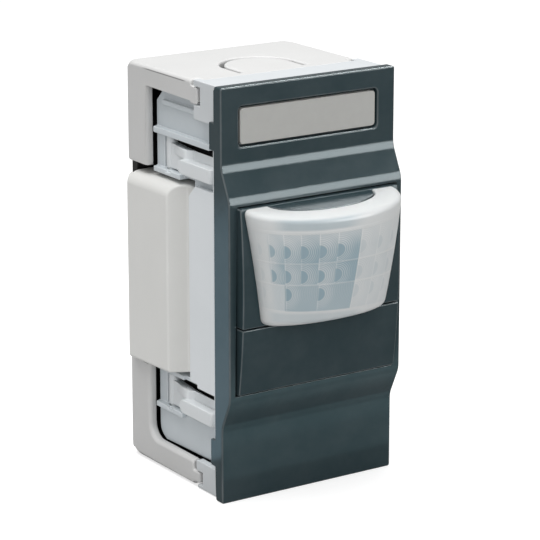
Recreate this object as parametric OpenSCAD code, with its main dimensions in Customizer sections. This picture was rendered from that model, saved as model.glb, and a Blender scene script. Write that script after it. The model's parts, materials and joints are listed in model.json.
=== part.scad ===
// Motion sensor light switch: a clip-in module with a lens above a push key.
// The origin is the centre of the front plate's rear face. The front faces -Y and +Z is up.

/* [Front plate] */
// Width of the front plate
plate_w = 24.4; // [24:0.1:26]
// Height of the front plate
plate_h = 50; // [49:0.5:53]
// Thickness of the plate at the label
plate_t = 1.5; // [1.4:0.1:2]
// How far the middle of the plate stands out
plate_step = 1.7; // [1.4:0.1:2.2]
// Height of the flat at each end of the plate
end_flat = 9.4; // [9:0.1:9.8]
// Height of each slope
slope_h = 3.6; // [3.2:0.1:4]
// Radius where a slope meets a flat
slope_r = 2.9; // [1:0.1:3]
// Radius of the plate's corners
plate_corner_r = 0.3; // [0.2:0.1:1]
// Rim of the plate beside the opening
rim_side = 0.95; // [0.85:0.05:1.2]
// Rim of the plate above and below the opening
rim_end = 0.65; // [0.5:0.05:0.9]

/* [Label] */
// Width of the label window
label_w = 18.9; // [16:0.1:20]
// Height of the label window
label_h = 4.2; // [3:0.1:5]
// Distance from the top of the plate to the middle of the label
label_drop = 4.75; // [4:0.05:5.5]
// Gap round the label window
label_gap = 0.28; // [0.15:0.01:0.4]
// Depth of the label recess
label_depth = 0.9; // [0.7:0.05:1.1]
// Thickness of the label card
card_t = 0.3; // [0.2:0.05:0.4]

/* [Sensor panel and key] */
// Gap round the panel and the key
panel_gap = 0.15; // [0.12:0.01:0.3]
// How far the edge of the panel stands out of the plate
face_lift = 0.3; // [0.2:0.05:0.6]
// Rise of the rounded face over its height
crown = 1.0; // [0.6:0.1:1.4]
// Height of the gap between the panel and the key
split_z = -3.05; // [-3.6:0.05:-2.8]
// Wall thickness of the panel and the key
panel_wall = 1.3; // [1.1:0.1:1.4]
// Radius of the key's hinge pins
key_pin_r = 0.6; // [0.5:0.05:0.7]

/* [Lens] */
// Step from the panel's side in to the lens at the top
lens_top_side = 0.45; // [0.3:0.05:0.9]
// Step from the panel's side in to the lens at the bottom
lens_bottom_side = 2.5; // [1.9:0.1:3.4]
// How far the lens stands out at the top
lens_top_out = 6.6; // [5.8:0.1:7.2]
// How far the lens stands out at the bottom
lens_bottom_out = 3.3; // [2.6:0.1:4]
// Forward droop of the lens top in degrees
lens_tilt = 6; // [4:0.5:10]
// Wall thickness of the lens
lens_wall = 0.8; // [0.6:0.05:1]
// Step from the panel's side in to the dark cap inside the lens top
cap_side = 3.9; // [3.4:0.1:4.9]
// How far the dark cap stands out
cap_out = 3.5; // [3:0.1:4.2]

/* [Rear body] */
// Depth from the plate to the rear face
body_depth = 20.8; // [20.2:0.1:22]
// Depth from the plate to the rear of the inner case
case_depth = 15.6; // [15.4:0.1:16.2]
// Step from the plate's edge in to the rear housing
body_inset = 0.55; // [0.4:0.05:0.7]
// Wall thickness of the rear housing's arms
arm_wall = 1.1; // [0.9:0.05:1.2]
// How far the terminal box stands out past the plate's edge
cheek_out = 0.3; // [0.1:0.05:0.5]
// Radius of the terminal box's long edges
cheek_r = 1.6; // [1:0.1:1.8]
// Width of the snap tongue in the top of the housing
tongue_w = 8.4; // [6:0.1:9]
// Length of the snap tongue
tongue_len = 9.3; // [7:0.1:10]
// Width of the slot round the snap tongue
tongue_slot = 0.6; // [0.4:0.05:0.8]

/* [Latches and terminals] */
// Height of a latch bay
bay_h = 4.1; // [3.9:0.05:4.2]
// Thickness of a latch lever
lever_t = 0.9; // [0.8:0.05:1]
// Radius of a latch lever's trunnions
trunnion_r = 0.55; // [0.45:0.05:0.6]
// Distance from the outer wire entries to the case's inner wall
entry_margin = 1.8; // [1.8:0.1:2.2]
// Radius of a wire entry
wire_r = 1.5; // [1.2:0.05:1.5]
// Height of the wire entries above the lower end of the middle part
wire_rise = 6.4; // [6.2:0.1:6.6]
// Radius of the sensor can
can_r = 4.1; // [3.8:0.1:4.4]

/* [Hidden] */
$fn = 48;
sliver = 0.05;
past = 1;
fit = 0.1;
run_gap = 0.08;

half_w = plate_w / 2;
half_h = plate_h / 2;
mid_y = -(plate_t + plate_step);
slope_top = half_h - end_flat;
mid_half = slope_top - slope_h;
open_half_w = half_w - rim_side;
open_half_h = mid_half - rim_end;
panel_half = open_half_w - panel_gap;
face_half = open_half_h - panel_gap;
face_y = mid_y - face_lift - crown;
crown_z = 1.4;
crown_reach = face_half + crown_z;
crown_r = (crown_reach * crown_reach + crown * crown) / (2 * crown);
panel_bottom = split_z + panel_gap / 2;
key_top = split_z - panel_gap / 2;
skirt_t = 1;

label_z = half_h - label_drop;
pocket_w = label_w + 2 * label_gap;
pocket_h = label_h + 2 * label_gap;
pocket_y = -plate_t + label_depth;
window_sink = 0.15;
plate_tab_z = half_h - 5.9;
plate_tab_half = 1.65;

lens_top_w = 2 * (panel_half - lens_top_side);
lens_bottom_w = 2 * (panel_half - lens_bottom_side);
cap_w = 2 * (panel_half - cap_side);
lens_top_z = face_half - sliver;
lens_bottom_z = panel_bottom + 0.15;
lens_root_y = face_y + crown_r - sqrt(crown_r * crown_r - pow(lens_top_z - crown_z, 2));
lens_low_y = face_y + 0.05;
lens_back = 1.5;
lens_slab = 0.6;
lens_rim = 0.8;
oval_power = 1.95;
oval_steps = 40;
cap_t = 1;
cap_back = 0.3;
cap_gap = 0.12;
window_margin = 1.2;

carrier_front = sliver;
carrier_rear = 1.1;
body_half = half_w - body_inset;
housing_half_h = half_h - 0.2;
carrier_half_h = half_h - 0.1;
lug_in = panel_half - skirt_t - 1.2;
lug_out = panel_half - skirt_t - 0.2;
carrier_open_w = lug_in - 0.9;
carrier_open_top = face_half - 0.75;
carrier_open_bottom = -face_half - 0.25;
flange_depth = 4.2;
flange_bottom = housing_half_h - 1.2;

arm_in = body_half - arm_wall;
case_half = arm_in - 0.25;
case_wall = 1;
case_in = case_half - case_wall;
case_top = half_h - 3;
case_bottom = -half_h + 2.8;
wing_edge = mid_half + 0.3;
wing_wall = 0.9;
wing_front = 7.2;
bay_wall = case_half - 1.8;
bay_in = bay_wall - 0.8;
ledge_out = case_half + 0.7;
ledge_t = 0.65;
ledge_front = 9.45;
ledge_rear = case_depth - 0.2;
low_bar_out = case_half + 0.4;
top_ledge_front = 3;
top_ledge_t = ledge_t + 0.1;
bay_front = carrier_rear + 0.5;
upper_bay_floor = mid_half + ledge_t;
lower_bay_floor = -wing_edge - 0.55 - bay_h;
case_chamfer_top = 1.4;
case_low_r = 2;
rib_out = case_half + 0.5;
rib_front = 5.8;
rib_rear = case_depth - 2;
rib_high = case_top - 1;
rib_low = case_top - 1.6;
stop_in = case_in - 0.9;
stop_near = mid_half - 4;
stop_far = mid_half - 3;
slot_rear = case_depth - 2.9;
slot_front = case_depth - 4;
slot_deep = 0.3;

strip_in = case_half + 0.15;
strip_out = strip_in + 0.75;
strip_bottom = -mid_half - 0.2;
strip_step = 0.5;
strip_step_y = 5.6;
strip_cut = 1.4;
hook_in = body_half - 1;
hook_rear = 5.2;
hook_bar = 3.8;
hook_top_leg = 0.8;
hook_low = half_h - 4.8;
hook_low_leg = 1.7;
low_hook_top = -half_h + 3.5;
low_hook_leg = 1.3;
low_hook_nose = 0.45;
low_nose_rear = hook_rear - 0.3;

window_top = half_h - 2.6;
window_low = -half_h + 3.3;
window_rear = case_depth + 0.3;
window_r = 1.9;
arm_end = mid_half + 0.55;
low_post_top = -mid_half - 0.25;
housing_front = flange_depth + 0.3;
housing_wall = 1.4;
housing_top_t = 1.2;
housing_low_t = 1.3;
tab_rear = 5.9;
tab_front = hook_bar + 0.75;
tab_in = hook_in + 0.1;
tab_top = carrier_half_h - hook_top_leg - 0.1;
tab_low = hook_low + hook_low_leg + 0.1;
low_tab_top = low_hook_top - low_hook_leg - 0.15;
low_tab_low = -carrier_half_h + low_hook_nose + 0.1;
housing_r = 0.5;
rear_r = 1;
top_rear_r = 0.9;
low_rear_r = 2.8;
notch_in = body_half - 0.8;
tongue_root = housing_front + 1.4;

box_half_w = half_w + cheek_out;
box_half_h = mid_half - 0.5;
box_low = mid_half + 0.1;
box_low_r = 0.4;
box_rear = body_depth - 1.8;
cheek_rear = body_depth - 1.5;
cheek_in = body_half + 0.1;
box_wall = 1.2;
box_front_half = strip_in - 0.1;
box_neck = 1.5;
box_chamfer = 1.35;
wire_pitch = 2 * (case_in - entry_margin) / 3;
wire_z = -mid_half + wire_rise;
block_top = wire_z + 2.4;
block_low = wire_z - 4.6;
block_half_w = 1.5 * wire_pitch + 2.5;
block_front = box_rear - 5.2;
block_rear = body_depth - 0.2;
entries = [-1.5 * wire_pitch, -0.5 * wire_pitch, 0.5 * wire_pitch, 1.5 * wire_pitch];

board_front = carrier_rear;
board_rear = board_front + 1;
board_half_w = case_in - 0.1;
power_front = board_rear + 2.8;
power_rear = power_front + 1.2;
power_half_w = bay_in - 0.2;
column_x = bay_in - 1.3;
column_top_z = case_top - 2.4;
column_low_z = case_bottom + 2.6;
column_r = 1.2;
screw_r = 0.75;
screw_len = 4.8;
pin_count = 4;
pin_step = 2;
pin_z = -mid_half + 1.6;
pin_r = 0.3;
pin_spots = [for (i = [0:pin_count - 1]) (i - (pin_count - 1) / 2) * pin_step];

key_pivot_y = face_y + panel_wall + 1.35;
key_pivot_z = key_top - 1.55;
key_skirt_rear = key_pivot_y + 0.7;
lug_r = 1;
key_room = face_half + key_top - skirt_t;
tact_share = 0.3181;
tact_half = tact_share * key_room;
push_z = -face_half + skirt_t + 0.3 + tact_half;
push_r = 0.4 * tact_half;
tact_front = -1.6;
tact_button_r = 0.71 * tact_half;
button_tip = -2;
trimmer_half = (carrier_open_w - tact_half - 1.35) / 2;
trimmer_front = -0.6;
dial_x = (carrier_open_w + tact_half) / 2 + 0.475;
dial_r = 0.68 * trimmer_half;
dial_front = -1.1;

can_z = (face_half + panel_bottom) / 2 + 0.5;
can_front = -2.9;
filter_half = 1.95;
filter_deep = 0.5;
eye_x = carrier_open_w - 2.5;
eye_z = panel_bottom + 2.85;
eye_r = 1.5;
eye_front = -2.4;

pivot_x = case_half - 0.45;
pivot_y = case_depth - 2.7;
bay_rear = pivot_y + 0.95;
lever_in = pivot_x - lever_t / 2;
lever_out = pivot_x + lever_t / 2;
lever_front = 1.9;
lever_rear = pivot_y + 0.6;
lever_low = 0.2;
lever_high = bay_h - 0.85;
finger_rear = ledge_front - 0.25;
finger_low = 0.35;
finger_high = 2.1;
finger_out = lever_out + 1.2;
wedge_front = 7.4;
wedge_rear = 11.9;
wedge_low = 2.05;
wedge_out = lever_out + 0.7;

release_half_w = 1.2;
release_low = wire_z - 3.8;
release_high = wire_z - 2.3;
release_proud = 0.5;
release_gap = 0.15;
leaf_t = 0.3;
leaf_low = release_low - 0.5;
leaf_bend = power_rear + 0.9;
leaf_foot = [leaf_bend + 0.8, leaf_low + 0.2];
leaf_end = [block_front - 0.9, wire_z + 0.8];
leaf_run = (leaf_end[0] - leaf_foot[0]) / (leaf_end[1] - leaf_foot[1]);
release_tip = leaf_foot[0] + (release_high - leaf_foot[1]) * leaf_run + 0.2;

// Point at the given angle on a circle
function polar(r, a) = [r * cos(a), r * sin(a)];

// Unit vector along v
function unit(v) = v / norm(v);

// Arc of radius r that rounds the corner b between a and c
function corner_arc(a, b, c, r, steps) =
    let (u = unit(a - b), v = unit(c - b))
    let (half = acos(u * v) / 2)
    let (mid = b + unit(u + v) * r / sin(half))
    let (p = b + u * r / tan(half) - mid, q = b + v * r / tan(half) - mid)
    let (start = atan2(p[1], p[0]), end = atan2(q[1], q[0]))
    let (turn = end - start > 180 ? end - start - 360 : end - start < -180 ? end - start + 360 : end - start)
    [for (i = [0:steps]) mid + polar(r, start + turn * i / steps)];

// Half oval of half width a that reaches p forward, with a straight back
function half_oval(a, p, back) = concat(
    [for (i = [0:oval_steps])
        let (c = cos(180 * i / oval_steps), s = sin(180 * i / oval_steps))
        [a * sign(c) * pow(abs(c), 2 / oval_power), -p * pow(max(s, 0), 2 / oval_power)]],
    [[-a, back], [a, back]]);

// Box between two corners
module box(x0, x1, y0, y1, z0, z1) {
    translate([x0, y0, z0]) cube([x1 - x0, y1 - y0, z1 - z0]);
}

// Box on both sides of the middle
module pair_box(x0, x1, y0, y1, z0, z1) {
    box(x0, x1, y0, y1, z0, z1);
    box(-x1, -x0, y0, y1, z0, z1);
}

// Round bar along X
module rod_x(r, x0, x1, y, z) {
    translate([x0, y, z]) rotate([0, 90, 0]) cylinder(r = r, h = x1 - x0);
}

// Round bar along Y
module rod_y(r, x, z, y0, y1) {
    translate([x, y1, z]) rotate([90, 0, 0]) cylinder(r = r, h = y1 - y0);
}

// Round bar along Z
module rod_z(r, x, y, z0, z1) {
    translate([x, y, z0]) cylinder(r = r, h = z1 - z0);
}

// Box with its four edges along Y rounded
module soft_box(half_x, y0, y1, z0, z1, r) {
    box(-half_x + r, half_x - r, y0, y1, z0, z1);
    box(-half_x, half_x, y0, y1, z0 + r, z1 - r);
    for (x = [-half_x + r, half_x - r]) {
        rod_y(r, x, z0 + r, y0, y1);
        rod_y(r, x, z1 - r, y0, y1);
    }
}

// Section in Y and Z drawn out along X
module side_section(points, x0, x1) {
    translate([x0, 0, 0]) rotate([90, 0, 90]) linear_extrude(x1 - x0) polygon(points);
}

// Solid behind the rounded face, set back by the given depth
module crown_body(depth) {
    rod_x(crown_r - depth, -plate_w, plate_w, face_y + crown_r, crown_z);
}

// Outer or inner form of the lens
module lens_form(inset, top_cut) {
    hull() {
        translate([0, lens_root_y, lens_top_z]) rotate([lens_tilt, 0, 0])
            translate([0, 0, -lens_slab - top_cut]) linear_extrude(lens_slab)
            polygon(half_oval(lens_top_w / 2 - inset, lens_top_out - inset, lens_back));
        translate([0, lens_low_y, lens_bottom_z + inset]) linear_extrude(lens_slab)
            polygon(half_oval(lens_bottom_w / 2 - inset, lens_bottom_out - inset, lens_back));
    }
}

// Half oval prism under the tilted lens top, and over it by the given height
module cap_form(grow, t, over, back) {
    translate([0, lens_root_y, lens_top_z]) rotate([lens_tilt, 0, 0]) translate([0, 0, -t])
        linear_extrude(t + over) polygon(half_oval(cap_w / 2 + grow, cap_out + grow, back));
}

module front_plate() {
    a = [-plate_t, half_h];
    b = [-plate_t, slope_top];
    c = [mid_y, mid_half];
    d = [mid_y, -mid_half];
    e = [-plate_t, -slope_top];
    f = [-plate_t, -half_h];
    outline = concat([a], corner_arc(a, b, c, slope_r, 8), corner_arc(b, c, d, slope_r, 8),
        corner_arc(c, d, e, slope_r, 8), corner_arc(d, e, f, slope_r, 8), [f, [0, -half_h], [0, half_h]]);
    color("#39474d") {
        difference() {
            intersection() {
                side_section(outline, -half_w, half_w);
                soft_box(half_w, mid_y - past, past, -half_h, half_h, plate_corner_r);
            }
            box(-open_half_w, open_half_w, mid_y - past, past, -open_half_h, open_half_h);
            box(-pocket_w / 2, pocket_w / 2, -plate_t - past, pocket_y,
                label_z - pocket_h / 2, label_z + pocket_h / 2);
        }
        for (z = [plate_tab_z, -plate_tab_z]) {
            pair_box(body_half + fit, half_w - sliver, -sliver, carrier_rear,
                z - plate_tab_half, z + plate_tab_half);
        }
    }
}

module label_card() {
    color("#aeada8") box(-label_w / 2, label_w / 2, pocket_y - card_t, pocket_y,
        label_z - label_h / 2, label_z + label_h / 2);
}

module label_window() {
    color("#dfe3e3", 0.4) box(-label_w / 2, label_w / 2, -plate_t + window_sink, pocket_y - card_t,
        label_z - label_h / 2, label_z + label_h / 2);
}

module sensor_bezel() {
    top = lens_top_z - window_margin;
    low = lens_bottom_z + window_margin;
    wide = lens_top_w / 2 - window_margin;
    narrow = lens_bottom_w / 2 - window_margin;
    color("#323f45") {
        difference() {
            intersection() {
                box(-panel_half, panel_half, face_y - past, carrier_front, panel_bottom, face_half);
                crown_body(0);
            }
            intersection() {
                box(-panel_half + skirt_t, panel_half - skirt_t, face_y - past, past,
                    panel_bottom + skirt_t, face_half - skirt_t);
                crown_body(panel_wall);
            }
            translate([0, past, 0]) rotate([90, 0, 0]) linear_extrude(2 * past - face_y)
                polygon([[-narrow, low], [narrow, low], [wide, top], [-wide, top]]);
        }
        cap_form(0, cap_t, 0, cap_back);
    }
}

module fresnel_lens() {
    color("#e6eaea", 0.75) difference() {
        lens_form(0, 0);
        lens_form(lens_wall, lens_rim);
        cap_form(cap_gap, cap_t + past, past, lens_back);
        crown_body(-sliver);
    }
}

module override_key() {
    pin_in = lug_in - fit;
    color("#36434a") {
        difference() {
            intersection() {
                box(-panel_half, panel_half, face_y - past, key_skirt_rear, -face_half, key_top);
                crown_body(0);
            }
            intersection() {
                box(-panel_half + skirt_t, panel_half - skirt_t, face_y - past, past,
                    -face_half + skirt_t, key_top - skirt_t / 2);
                crown_body(panel_wall);
            }
        }
        rod_x(key_pin_r, -panel_half + skirt_t / 2, -pin_in, key_pivot_y, key_pivot_z);
        rod_x(key_pin_r, pin_in, panel_half - skirt_t / 2, key_pivot_y, key_pivot_z);
        rod_y(push_r, 0, push_z, face_y + panel_wall, button_tip - sliver);
    }
}

module carrier_hook() {
    box(hook_in, body_half, carrier_rear - sliver, hook_bar, hook_low, carrier_half_h);
    box(hook_in, body_half, hook_bar - sliver, hook_rear, carrier_half_h - hook_top_leg, carrier_half_h);
    box(hook_in, body_half, hook_bar - sliver, hook_rear, hook_low, hook_low + hook_low_leg);
    box(hook_in, body_half, carrier_rear - sliver, hook_bar, -carrier_half_h, low_hook_top);
    box(hook_in, body_half, hook_bar - sliver, hook_rear, low_hook_top - low_hook_leg, low_hook_top);
    box(hook_in, body_half, hook_bar - sliver, low_nose_rear,
        -carrier_half_h, -carrier_half_h + low_hook_nose);
}

module carrier_strip() {
    difference() {
        box(strip_in, strip_out, carrier_rear - sliver, wing_front, strip_bottom, mid_half);
        translate([strip_in, wing_front, mid_half]) rotate([45, 0, 0])
            cube([2 * past, strip_cut * sqrt(2), strip_cut * sqrt(2)], center = true);
    }
    box(strip_in, strip_out, carrier_rear - sliver, strip_step_y,
        strip_bottom - strip_step, strip_bottom + sliver);
}

module front_carrier() {
    wide = hook_in + sliver;
    color("#d8dee1") {
        difference() {
            box(-body_half, body_half, carrier_front, carrier_rear, -carrier_half_h, carrier_half_h);
            box(-carrier_open_w, carrier_open_w, -past, carrier_rear + past,
                carrier_open_bottom, carrier_open_top);
        }
        box(-wide, wide, carrier_rear - sliver, flange_depth, flange_bottom, carrier_half_h);
        box(-wide, wide, carrier_rear - sliver, flange_depth, -carrier_half_h, -flange_bottom);
        for (side = [0, 1]) {
            mirror([side, 0, 0]) {
                carrier_hook();
                carrier_strip();
                difference() {
                    union() {
                        rod_x(lug_r, lug_in, lug_out, key_pivot_y, key_pivot_z);
                        box(lug_in, lug_out, key_pivot_y, carrier_front + sliver,
                            key_pivot_z - lug_r, key_pivot_z + lug_r);
                    }
                    rod_x(key_pin_r + run_gap, lug_in - past, lug_out + past, key_pivot_y, key_pivot_z);
                }
            }
        }
    }
}

// Pockets of the two latch bays above the given floor
module bay_cut(floor_z) {
    for (side = [0, 1]) {
        mirror([side, 0, 0]) {
            box(bay_wall, case_half + past, bay_front, bay_rear, floor_z, floor_z + bay_h);
        }
    }
}

// Trunnion holes of the two latch bays above the given floor
module bay_holes(floor_z) {
    for (x = [-pivot_x, pivot_x]) {
        rod_z(trunnion_r + run_gap, x, pivot_y, floor_z - ledge_t - sliver, floor_z + bay_h + ledge_t);
    }
}

module inner_case() {
    upper = [[carrier_rear, wing_edge], [case_depth, wing_edge], [case_depth, case_top - case_chamfer_top],
        [case_depth - case_chamfer_top, case_top], [carrier_rear, case_top]];
    lower_front = [carrier_rear, case_bottom];
    lower_corner = [case_depth, case_bottom];
    lower_rear = [case_depth, -wing_edge];
    lower = concat([[carrier_rear, -wing_edge], lower_front],
        corner_arc(lower_front, lower_corner, lower_rear, case_low_r, 6), [lower_rear]);
    in_rear = case_depth - case_wall;
    upper_ceiling = upper_bay_floor + bay_h;
    lower_ceiling = lower_bay_floor + bay_h;
    neck = wing_edge + sliver;
    face = case_half - sliver;
    inner_face = bay_wall - sliver;
    color("#c3ccd1") difference() {
        union() {
            difference() {
                union() {
                    side_section(upper, -case_half, case_half);
                    side_section(lower, -case_half, case_half);
                    pair_box(case_in, case_half, carrier_rear, wing_front, -neck, neck);
                }
                bay_cut(upper_bay_floor);
                bay_cut(lower_bay_floor);
                box(-bay_in, bay_in, 0, in_rear, wing_edge + wing_wall, case_top - wing_wall);
                box(-case_in, case_in, 0, in_rear, upper_ceiling + wing_wall, case_top - wing_wall);
                box(-bay_in, bay_in, 0, in_rear, case_bottom + wing_wall, -wing_edge - wing_wall);
                box(-case_in, case_in, 0, in_rear, case_bottom + wing_wall, lower_bay_floor - wing_wall);
                box(-bay_in, bay_in, 0, power_rear + 0.5, -wing_edge - 2, wing_edge + 2);
                box(-case_in, case_in, 0, board_rear + 0.2, -mid_half - 0.5, mid_half - 0.3);
            }
            pair_box(face, ledge_out, top_ledge_front, ledge_rear,
                upper_ceiling, upper_ceiling + top_ledge_t);
            for (floor_z = [upper_bay_floor, lower_bay_floor]) {
                pair_box(inner_face, ledge_out, ledge_front, ledge_rear, floor_z - ledge_t, floor_z);
            }
            pair_box(face, low_bar_out, ledge_front, ledge_rear, lower_ceiling, -wing_edge);
            pair_box(face, rib_out, rib_front, rib_rear, rib_low, rib_high);
            pair_box(stop_in, case_in + sliver, board_rear, power_front, stop_near, stop_far);
            pair_box(stop_in, case_in + sliver, board_rear, power_front, -stop_far, -stop_near);
            for (x = [-column_x, column_x]) {
                rod_y(column_r, x, column_top_z, power_rear, in_rear + sliver);
                rod_y(column_r, x, column_low_z, power_rear, in_rear + sliver);
            }
        }
        bay_holes(upper_bay_floor);
        bay_holes(lower_bay_floor);
        for (x = [-column_x, column_x]) {
            rod_y(screw_r + run_gap, x, column_top_z, power_rear - past, power_rear + screw_len + 0.4);
            rod_y(screw_r + run_gap, x, column_low_z, power_rear - past, power_rear + screw_len + 0.4);
        }
        for (floor_z = [upper_bay_floor, lower_bay_floor]) {
            pair_box(ledge_out - slot_deep, ledge_out + past, slot_front, slot_rear,
                floor_z - slot_deep, floor_z + sliver);
        }
    }
}

// Slot that frees three sides of the snap tongue
module tongue_cut() {
    outer = tongue_w / 2 + tongue_slot;
    inner = tongue_w / 2;
    bend_y = housing_front + tongue_len - outer;
    low = housing_half_h - 3;
    high = housing_half_h + past;
    intersection() {
        difference() {
            union() {
                rod_z(outer, 0, bend_y, low, high);
                box(-outer, outer, housing_front - past, bend_y, low, high);
            }
            rod_z(inner, 0, bend_y, low - past, high + past);
            box(-inner, inner, housing_front - 2 * past, bend_y, low - past, high + past);
        }
        box(-outer - past, outer + past, tongue_root, body_depth, low - past, high + past);
    }
}

// Body with its rear edges rounded
module rear_rounded() {
    side = body_half - rear_r;
    box(-body_half, body_half, 0, body_depth - rear_r, -plate_h, plate_h);
    box(-side, side, 0, body_depth, -plate_h, plate_h);
    for (x = [-side, side]) {
        rod_z(rear_r, x, body_depth - rear_r, -plate_h, plate_h);
    }
}

module rear_housing() {
    rear_in = body_depth - housing_wall;
    out = body_half + past;
    wall_in = arm_in - sliver;
    block_gap = 0.2;
    side_end = [window_rear, low_post_top];
    low_corner = [window_rear, window_low];
    low_end = [tab_rear, window_low];
    corner = concat([low_corner + [sliver, -sliver]], corner_arc(side_end, low_corner, low_end, window_r, 8));
    low_front = [housing_front, -housing_half_h];
    low_back = [body_depth, -housing_half_h];
    top_back = [body_depth, housing_half_h];
    top_front = [housing_front, housing_half_h];
    outline = concat([low_front], corner_arc(low_front, low_back, top_back, low_rear_r, 10),
        corner_arc(low_back, top_back, top_front, top_rear_r, 6), [top_front]);
    color("#e9e8e5") {
        difference() {
            intersection() {
                soft_box(body_half, housing_front, body_depth, -housing_half_h, housing_half_h, housing_r);
                rear_rounded();
                side_section(outline, -half_w, half_w);
            }
            box(-arm_in, arm_in, 0, rear_in, -housing_half_h + housing_low_t, housing_half_h - housing_top_t);
            pair_box(wall_in, out, 0, window_rear, arm_end, window_top);
            pair_box(wall_in, out, 0, rear_in, low_post_top, arm_end);
            pair_box(notch_in, out, rear_in - past, body_depth + past, box_half_h - cheek_r, arm_end);
            pair_box(wall_in, out, 0, window_rear, window_low, low_post_top);
            pair_box(wall_in, out, 0, tab_rear, -half_h, half_h);
            box(-block_half_w - block_gap, block_half_w + block_gap, rear_in - past, body_depth + past,
                block_low - block_gap, block_top + block_gap);
            tongue_cut();
        }
        pair_box(tab_in, body_half, tab_front, tab_rear + sliver, tab_low, tab_top);
        pair_box(tab_in, body_half, tab_front, tab_rear + sliver, low_tab_low, low_tab_top);
        side_section(corner, arm_in, body_half);
        side_section(corner, -body_half, -arm_in);
    }
}

module terminal_box() {
    front_in = box_front_half - box_wall + 0.2;
    neck_y = wing_front + box_neck;
    chamfer_y = neck_y + box_chamfer;
    plan = [[-box_front_half, wing_front], [-box_front_half, neck_y], [-box_half_w, chamfer_y],
        [-box_half_w, cheek_rear], [box_half_w, cheek_rear], [box_half_w, chamfer_y],
        [box_front_half, neck_y], [box_front_half, wing_front]];
    side_in = box_half_w - box_wall;
    top_in = box_half_h - box_wall;
    low_in = box_low - box_wall;
    rear_in = box_rear - box_wall;
    slot_half = release_half_w + release_gap;
    color("#e2e1dd") difference() {
        union() {
            difference() {
                intersection() {
                    union() {
                        soft_box(box_half_w, wing_front, cheek_rear, cheek_r - box_low, box_half_h, cheek_r);
                        soft_box(box_half_w, wing_front, cheek_rear, -box_low, 0, box_low_r);
                    }
                    translate([0, 0, -box_low]) linear_extrude(box_low + box_half_h) polygon(plan);
                }
                box(-cheek_in, cheek_in, box_rear, body_depth, -half_h, half_h);
                box(-front_in, front_in, 0, chamfer_y, -low_in, top_in);
                box(-side_in, side_in, chamfer_y - sliver, rear_in, -low_in, top_in);
            }
            box(-block_half_w, block_half_w, block_front, block_rear, block_low, block_top);
        }
        for (x = entries) {
            rod_y(wire_r, x, wire_z, block_front - past, block_rear + past);
            box(x - slot_half, x + slot_half, block_front - past, block_rear + past,
                release_low - release_gap, release_high + release_gap);
        }
    }
}

// Latch lever on the right, above the given bay floor
module latch(floor_z) {
    wedge = [[lever_out - sliver, wedge_front], [wedge_out, wedge_front + 0.6],
        [wedge_out, wedge_front + 1.4], [lever_out - sliver, wedge_rear]];
    finger_r = (finger_high - finger_low) / 2;
    finger_bend = finger_rear - finger_r;
    low = floor_z + lever_low;
    color("#eceeec") {
        box(lever_in, lever_out, lever_front, lever_rear, low, floor_z + lever_high);
        translate([0, 0, floor_z + wedge_low]) linear_extrude(lever_high - wedge_low) polygon(wedge);
        box(lever_in, finger_out, lever_front, finger_bend, floor_z + finger_low, floor_z + finger_high);
        rod_x(finger_r, lever_in, finger_out, finger_bend, floor_z + finger_low + finger_r);
        rod_z(trunnion_r, pivot_x, pivot_y, floor_z - ledge_t + fit, floor_z + bay_h + ledge_t - fit);
        rod_z(trunnion_r + fit, pivot_x, pivot_y, low, floor_z + bay_h - 0.15);
    }
}

module latch_upper_left() {
    mirror([1, 0, 0]) latch(upper_bay_floor);
}

module latch_upper_right() {
    latch(upper_bay_floor);
}

module latch_lower_left() {
    mirror([1, 0, 0]) latch(lower_bay_floor);
}

module latch_lower_right() {
    latch(lower_bay_floor);
}

// Holes for the pins that join the two boards
module pin_holes() {
    for (x = pin_spots) {
        rod_y(pin_r + fit, x, pin_z, board_front - past, power_rear + past);
    }
}

module sensor_board() {
    color("#2f6b45") difference() {
        box(-board_half_w, board_half_w, board_front, board_rear, -mid_half - 0.3, mid_half - 0.5);
        pin_holes();
    }
}

module pir_can() {
    color("#b9bcbb") difference() {
        union() {
            rod_y(can_r + 0.5, 0, can_z, board_front - 0.5, board_front);
            rod_y(can_r, 0, can_z, can_front, board_front);
        }
        box(-filter_half - sliver, filter_half + sliver, can_front - past, can_front + filter_deep,
            can_z - filter_half - sliver, can_z + filter_half + sliver);
    }
}

module pir_filter() {
    color("#20242a") box(-filter_half, filter_half, can_front + sliver, can_front + filter_deep,
        can_z - filter_half, can_z + filter_half);
}

// Small clear sensor with a domed end and a rim
module eye(x) {
    rod_y(eye_r, x, eye_z, eye_front + 1, board_front);
    rod_y(eye_r + 0.2, x, eye_z, board_front - 0.8, board_front);
    translate([x, eye_front + 1.2, eye_z]) sphere(r = eye_r - 0.05);
}

module light_sensor() {
    color("#d9dedb", 0.8) eye(-eye_x);
}

module status_led() {
    color("#c4423a") eye(eye_x);
}

module tact_switch() {
    color("#3a3c3e") difference() {
        box(-tact_half, tact_half, tact_front, board_front, push_z - tact_half, push_z + tact_half);
        rod_y(tact_button_r + 2 * fit, 0, push_z, tact_front - past, tact_front + 1.4);
    }
}

module tact_button() {
    color("#d7d3c8") rod_y(tact_button_r, 0, push_z, button_tip, tact_front + 0.9);
}

module trimmer_bodies() {
    color("#3566a5") for (x = [-dial_x, dial_x]) {
        difference() {
            box(x - trimmer_half, x + trimmer_half, trimmer_front, board_front,
                push_z - trimmer_half, push_z + trimmer_half);
            rod_y(dial_r + 0.15, x, push_z, trimmer_front - past, trimmer_front + 0.9);
        }
    }
}

// Trimmer rotor with a screwdriver slot
module dial(x) {
    slot_half = 0.3;
    color("#ece9e0") difference() {
        rod_y(dial_r, x, push_z, dial_front, trimmer_front + 0.75);
        box(x - dial_r, x + dial_r, dial_front - past, dial_front + 0.5,
            push_z - slot_half, push_z + slot_half);
    }
}

module time_dial() {
    dial(-dial_x);
}

module lux_dial() {
    dial(dial_x);
}

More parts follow.
